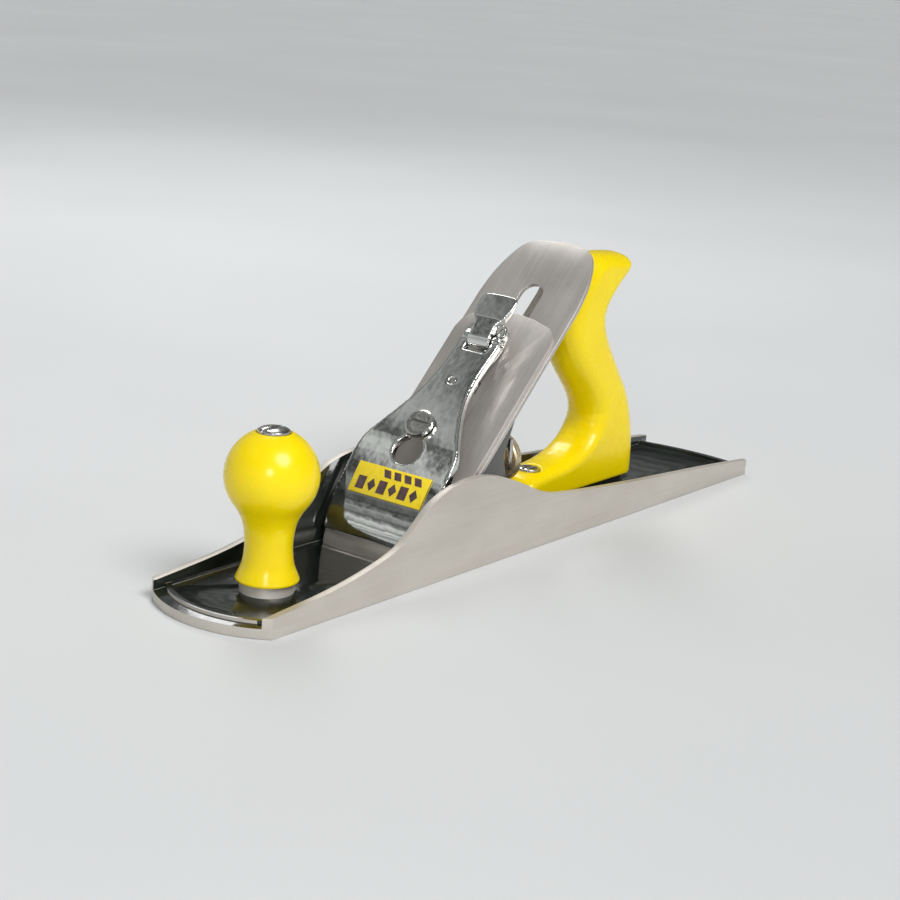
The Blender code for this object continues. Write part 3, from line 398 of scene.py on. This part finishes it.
def front_knob(plastic):
    """Ball, waisted neck and flared foot, with a rounded lip round the nut's pocket."""
    top, foot = KNOB_HIGH.z, KNOB_LOW.z
    bore, pocket, pocket_floor = 3.0 * MM, 6.6 * MM, 60 * MM
    start, end, steps = 22.5, 128, 40       # the ball's arc in degrees from its top
    ball = []
    for i in range(steps + 1):
        angle = radians(start + (end - start) * i / steps)
        ball.append((BALL_RADIUS * sin(angle), BALL_Z + BALL_RADIUS * cos(angle)))
    neck = [ball[-1], (11.9 * MM, 34.4 * MM), (10.1 * MM, 30 * MM), (9.3 * MM, 25 * MM), (9.2 * MM, 20 * MM),
            (10.0 * MM, 14.5 * MM), (11.6 * MM, 10.4 * MM), (12.1 * MM, 9.3 * MM)]
    neck_steps = 8
    neck_line = through([ball[-5]] + neck, neck_steps)[neck_steps + 1:]
    lip = [(pocket, pocket_floor), (pocket, top - 1.0 * MM), (pocket + 0.15 * MM, top - 0.75 * MM)]
    skirt = [(12.2 * MM, foot + 0.5 * MM), (12.05 * MM, foot + 0.1 * MM), (11.8 * MM, foot)]
    profile = lip + ball + [tuple(point) for point in neck_line] + skirt
    profile += [(bore, foot), (bore, pocket_floor)]
    mesh = lathe(profile, Vector((KNOB_CENTRE.x, 0, 0)), Vector((0, 0, 1)), 96)
    knob = piece_from("front_knob_finished", mesh, "front_knob", [plastic])
    smooth(knob, 40)
    return knob


def depth_wheel(metal):
    """Grooved brass wheel whose rim carries a diamond knurl."""
    low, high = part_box("depth_adjusting_nut")
    axis_z = (low.z + high.z) / 2
    rim = (high.z - low.z) / 2
    groove_low, groove_high = -5.8 * MM, -0.2 * MM
    bore, hub, core = 3.5 * MM, 8.5 * MM, 6.0 * MM
    segments, bands = 160, 10
    profile = [(bore, high.x), (hub - 0.4 * MM, high.x), (hub, high.x - 0.4 * MM),
               (hub, groove_high + 0.3 * MM), (hub - 0.3 * MM, groove_high), (core, groove_high),
               (core, groove_low), (rim - 0.9 * MM, groove_low), (rim - 0.35 * MM, groove_low - 0.35 * MM)]
    knurl_first = len(profile)
    far = low.x + 0.35 * MM
    near = groove_low - 0.5 * MM
    profile += [(rim, near + (far - near) * i / bands) for i in range(bands + 1)]
    knurl_last = len(profile)
    profile += [(rim - 0.5 * MM, low.x), (7.6 * MM, low.x), (7.2 * MM, low.x + 0.5 * MM),
                (6.4 * MM, low.x + 0.6 * MM), (6.0 * MM, low.x + 1.2 * MM), (bore, low.x + 1.2 * MM)]
    mesh = lathe(profile, Vector((0, 0, axis_z)), Vector((1, 0, 0)), segments)
    mesh.verts.ensure_lookup_table()
    valley = (rim - 0.32 * MM) / rim
    for row in range(knurl_first, knurl_last):
        for i in range(segments):
            if (row + i) % 2:
                vertex = mesh.verts[row * segments + i]
                centre = Vector((vertex.co.x, 0, axis_z))
                vertex.co = centre + (vertex.co - centre) * valley
    wheel = piece_from("depth_wheel_finished", mesh, "depth_adjusting_nut", [metal])
    smooth(wheel, 24)
    return wheel


def label_mark(mesh, label, corners):
    """A thin raised patch of ink between four (t, y) corners, laid on the label's curved face."""
    steps = 5
    grid = []
    for i in range(steps + 1):
        row = []
        for j in range(steps + 1):
            left = corners[0].lerp(corners[3], i / steps)
            right = corners[1].lerp(corners[2], i / steps)
            t, y = left.lerp(right, j / steps)
            hit, point, _, _ = label.ray_cast(on_slope(t, y, 40 * MM), -OFF_SLOPE)
            row.append(point if hit else on_slope(t, y, LABEL_FACE))
        grid.append(row)
    upper = [[mesh.verts.new(point + OFF_SLOPE * INK_PROUD) for point in row] for row in grid]
    lower = [[mesh.verts.new(point - OFF_SLOPE * INK_SUNK) for point in row] for row in grid]
    for i in range(steps):
        for j in range(steps):
            mesh.faces.new((upper[i][j], upper[i][j + 1], upper[i + 1][j + 1], upper[i + 1][j]))
            mesh.faces.new((lower[i][j], lower[i + 1][j], lower[i + 1][j + 1], lower[i][j + 1]))
    for i in range(steps):
        sides = (((i, 0), (i + 1, 0)), ((i + 1, steps), (i, steps)), ((0, i + 1), (0, i)),
                 ((steps, i), (steps, i + 1)))
        for a, b in sides:
            ends = (upper[a[0]][a[1]], upper[b[0]][b[1]], lower[b[0]][b[1]], lower[a[0]][a[1]])
            mesh.faces.new(ends)


def label_pattern(label, ink):
    """A plain pattern of slanted bars over a row of lozenges and blocks."""
    mesh = bmesh.new()

    def quad(t_low, t_high, y_low, y_high, slant=0.0, lozenge=False):
        corners = [Vector((t_low, y_low)), Vector((t_low, y_high)), Vector((t_high, y_high + slant)),
                   Vector((t_high, y_low + slant))]
        if lozenge:
            middle_t, middle_y = (t_low + t_high) / 2, (y_low + y_high) / 2
            corners = [Vector((t_low, middle_y)), Vector((middle_t, y_high)), Vector((t_high, middle_y)),
                       Vector((middle_t, y_low))]
        label_mark(mesh, label, corners)

    for i in range(4):
        y = (-3.5 + 5.2 * i) * MM
        quad(31.2 * MM, 34.4 * MM, y, y + 3.4 * MM, -1.6 * MM)
    for i in range(6):
        y = (-15.6 + 5.4 * i) * MM
        quad(24.2 * MM, 29.6 * MM, y, y + 4.1 * MM, lozenge=i % 2 == 1)
    bmesh.ops.recalc_face_normals(mesh, faces=mesh.faces)
    shape = bpy.data.meshes.new("label_pattern")
    mesh.to_mesh(shape)
    mesh.free()
    shape.materials.append(ink)
    pattern = bpy.data.objects.new("label_pattern", shape)
    bpy.context.scene.collection.objects.link(pattern)
    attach(pattern, "cap")
    return pattern


# Studio

def softbox(name, direction, distance, size, power):
    """Rectangular area light that faces the middle of the plane from a direction."""
    lamp = bpy.data.lights.new(name, "AREA")
    lamp.shape = "RECTANGLE"
    lamp.size, lamp.size_y = size
    lamp.energy = power
    holder = bpy.data.objects.new(name, lamp)
    bpy.context.scene.collection.objects.link(holder)
    back = Vector(direction).normalized()
    holder.location = Vector((0, 0, 0.05)) + back * distance
    holder.rotation_mode = "QUATERNION"
    holder.rotation_quaternion = back.to_track_quat("Z", "Y")


def soft_sun(name, direction, spread, strength):
    """Even light from one direction, as soft as a source that spans spread degrees."""
    lamp = bpy.data.lights.new(name, "SUN")
    lamp.angle = radians(spread)
    lamp.energy = strength
    holder = bpy.data.objects.new(name, lamp)
    bpy.context.scene.collection.objects.link(holder)
    holder.rotation_mode = "QUATERNION"
    holder.rotation_quaternion = Vector(direction).to_track_quat("Z", "Y")


# Brightness of the studio's walls and ceiling by height, 0 at the horizon and 1 overhead: the bands show as
# streaks in the plated and polished metal
SKY_BANDS = ((0.0, 0.62), (0.08, 0.72), (0.13, 0.30), (0.18, 0.95), (0.22, 0.22), (0.27, 1.00), (0.31, 0.16),
             (0.36, 0.95), (0.40, 0.08), (0.45, 0.50), (0.50, 0.04), (0.58, 0.34), (0.66, 0.02), (0.70, 0.90),
             (0.735, 0.03), (0.775, 0.60), (0.81, 0.02), (0.86, 0.70), (0.90, 0.03), (1.0, 0.4))
SKY_WAVER = 0.22        # how far the bands wander up and down, in the same measure
# The walls' share of their brightness (To), by the X of the direction they're seen in (From)
HEEL_DIMMING = {"From Min": -0.75, "From Max": -0.15, "To Min": 0.3, "To Max": 1.0}


def pale_floor():
    floor_mesh = bpy.data.meshes.new("floor")
    half = 9.0
    corners = [(-half, -half, 0), (half, -half, 0), (half, half, 0), (-half, half, 0)]
    floor_mesh.from_pydata(corners, [], [(0, 1, 2, 3)])
    floor = bpy.data.objects.new("floor", floor_mesh)
    bpy.context.scene.collection.objects.link(floor)
    floor.location.z = BODY_LOW.z - 0.2 * MM
    paper = Surface("floor_paper", (0.72, 0.73, 0.74), 0.7, 0)
    paper.colour(paper.ramp(paper.noise(None, 3, 2), (0.3, (0.70, 0.71, 0.72)), (0.7, (0.74, 0.75, 0.76))))
    floor_mesh.materials.append(paper.material)


def banded_walls():
    """World light in wavy horizontal bands, dimmer beyond the plane's heel."""
    world = bpy.data.worlds.new("studio")
    bpy.context.scene.world = world
    world.use_nodes = True
    nodes, links = world.node_tree.nodes, world.node_tree.links
    direction = nodes.new("ShaderNodeTexCoord").outputs["Generated"]
    split = nodes.new("ShaderNodeSeparateXYZ")
    links.new(direction, split.inputs["Vector"])
    fade = nodes.new("ShaderNodeValToRGB")
    elements = fade.color_ramp.elements
    while len(elements) < len(SKY_BANDS):
        elements.new(0.5)
    for element, (height, shade) in zip(elements, SKY_BANDS):
        element.position = height
        element.color = (shade * 0.96, shade, shade * 0.97, 1)
    ripple = nodes.new("ShaderNodeTexNoise")
    ripple.inputs["Scale"].default_value = 3.2
    ripple.inputs["Detail"].default_value = 2
    links.new(direction, ripple.inputs["Vector"])
    waver = nodes.new("ShaderNodeMath")
    waver.operation = "MULTIPLY_ADD"
    links.new(ripple.outputs["Fac"], waver.inputs[0])
    waver.inputs[1].default_value = SKY_WAVER
    waver.inputs[2].default_value = -SKY_WAVER / 2
    wavy = nodes.new("ShaderNodeMath")
    wavy.operation = "ADD"
    links.new(split.outputs["Z"], wavy.inputs[0])
    links.new(waver.outputs["Value"], wavy.inputs[1])
    links.new(wavy.outputs["Value"], fade.inputs["Fac"])
    beyond = nodes.new("ShaderNodeMapRange")
    for name, value in HEEL_DIMMING.items():
        beyond.inputs[name].default_value = value
    links.new(split.outputs["X"], beyond.inputs["Value"])
    dimmed = nodes.new("ShaderNodeVectorMath")
    dimmed.operation = "SCALE"
    links.new(fade.outputs["Color"], dimmed.inputs[0])
    links.new(beyond.outputs["Result"], dimmed.inputs["Scale"])
    links.new(dimmed.outputs["Vector"], nodes["Background"].inputs["Color"])
    nodes["Background"].inputs["Strength"].default_value = 0.9


def studio():
    pale_floor()
    banded_walls()
    soft_sun("overhead", (0.15, 0.80, 0.95), 30, 2.05)
    softbox("front", (0.82, 0.52, 0.34), 1.1, (0.17, 0.22), 1.9)
    softbox("back_strip", (-0.45, -0.60, 0.80), 1.3, (0.30, 0.8), 4.5)
    bpy.context.scene.view_settings.view_transform = "Standard"


def camera():
    """Three-quarter view from the toe and the plane's left side, above the knob."""
    lens = bpy.data.cameras.new("camera")
    holder = bpy.data.objects.new("camera", lens)
    bpy.context.scene.collection.objects.link(holder)
    right = Vector((-0.61196521, 0.78794592, 0.06811611))
    down = Vector((0.16543999, 0.21175838, -0.96321752))
    ahead = Vector((-0.77338748, -0.57818649, -0.25994653))
    turn = Matrix((right, -down, -ahead)).transposed().to_4x4()
    turn.translation = Vector((0.66216, 0.47302, 0.25229))
    holder.matrix_world = turn
    lens.sensor_width = 36
    lens.lens = 79.14
    lens.shift_x = 0.0032
    lens.shift_y = 0.0014
    lens.clip_start = 0.01
    bpy.context.scene.camera = holder


# Small parts of bright steel
FITTINGS = ("frog_screw_left", "frog_screw_right", "frog_washer_left", "frog_washer_right",
            "frog_adjusting_plate", "frog_plate_screw", "frog_adjusting_screw", "depth_stud", "yoke_pin",
            "depth_yoke", "lateral_lever", "lateral_pivot", "lateral_roller", "roller_rivet",
            "cap_iron_screw", "lever_cap_screw", "cam_pin", "lever_cap_spring", "spring_rivet",
            "knob_bolt", "knob_nut", "tote_bolt", "tote_nut", "tote_toe_screw")


def build():
    iron, black, blade, plated = ground_iron(), japanning(), blade_steel(), chrome()
    bright, plastic, yellow_metal = bright_steel(), yellow_plastic(), brass()
    plane_body(iron, black)
    frog(iron, black)
    front_knob(plastic)
    cast("tote", plastic, 0.7 * MM, 6)
    cast("lever_cap", plated, 0.5 * MM, 4, 1.0 * MM)
    cast("cam_lever", plated, 0.32 * MM, 4, 0.5 * MM)
    edged("plane_iron", blade, 0.2 * MM)
    edged("chip_breaker", blade, 0.3 * MM)
    depth_wheel(yellow_metal)
    ground = label_paint("label_ground", (0.92, 0.68, 0.02), (1.0, 0.78, 0.04))
    label = edged("label_plate", ground, 0.1 * MM)
    label_pattern(label, label_paint("label_ink", (0.075, 0.045, 0.05), (0.13, 0.08, 0.09)))
    for node in FITTINGS:
        edged(node, bright, 0.2 * MM)
    studio()
    camera()


build()
